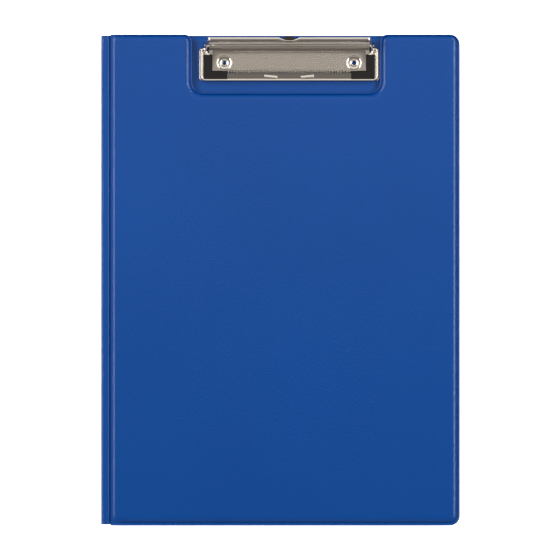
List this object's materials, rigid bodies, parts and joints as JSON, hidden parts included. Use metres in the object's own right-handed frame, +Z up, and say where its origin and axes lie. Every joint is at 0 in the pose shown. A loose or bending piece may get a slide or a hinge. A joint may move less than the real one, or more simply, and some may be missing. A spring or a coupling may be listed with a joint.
{
  "type": "clipboard folder",
  "caption": "Foldover clipboard: welded vinyl back board and notched front cover on a soft spine, with a sprung low-profile metal clip riveted at the top edge.",
  "frame": {"origin": "middle of the outline on the outer face of the back panel, which the folder lies on", "axes": "+X from the spine to the free edge, +Y towards the clip, +Z up out of the front cover"},
  "size_m": [0.2326, 0.318, 0.0133],
  "materials": {
    "blue_vinyl": "satin pebble grain",
    "greyboard": "matt",
    "pocket_film": "smooth",
    "nickel_steel": "bright nickel plate",
    "knurled_steel": "nickel plate, knurled",
    "spring_steel": "bright drawn wire",
    "black_rubber": "matt",
    "dark_steel": "blackened"
  },
  "bodies": {
    "back_board": {"back_stiffener": "greyboard", "back_skin": "blue_vinyl", "board_lining": "blue_vinyl", "clip_base_plate": "knurled_steel", "hinge_rod": "nickel_steel", "clip_rivets": "nickel_steel", "rivet_washers": "nickel_steel", "torsion_spring_left": "spring_steel", "torsion_spring_right": "spring_steel"},
    "spine": {"spine_skin": "blue_vinyl", "spine_lining": "blue_vinyl"},
    "cover": {"cover_stiffener": "greyboard", "cover_skin": "blue_vinyl", "cover_lining": "blue_vinyl", "inner_pocket": "pocket_film"},
    "clip_lever": {"clip_lever": "nickel_steel", "corner_grip_left": "black_rubber", "corner_grip_right": "black_rubber"},
    "hanging_tab": {"hanging_tab": "dark_steel"}
  },
  "joints": [
    {"name": "spine_hinge", "type": "hinge", "parent": "back_board", "child": "spine", "pos_m": [-0.116, 0, 0.0013], "axis": [0, -1, 0], "range_deg": [0, 180]},
    {"name": "cover_hinge", "type": "hinge", "parent": "spine", "child": "cover", "pos_m": [-0.116, 0, 0.0046], "axis": [0, -1, 0], "range_deg": [0, 180]},
    {"name": "clip_hinge", "type": "hinge", "parent": "back_board", "child": "clip_lever", "pos_m": [0.0058, 0.1514, 0.006], "axis": [-1, 0, 0], "range_deg": [0, 35], "stiffness_Nm_per_rad": 0.45, "springref_deg": -28.65, "deforming": ["torsion_spring_left", "torsion_spring_right"]},
    {"name": "tab_slide", "type": "slide", "parent": "back_board", "child": "hanging_tab", "axis": [0, 1, 0], "range_m": [0, 0.01]}
  ]
}
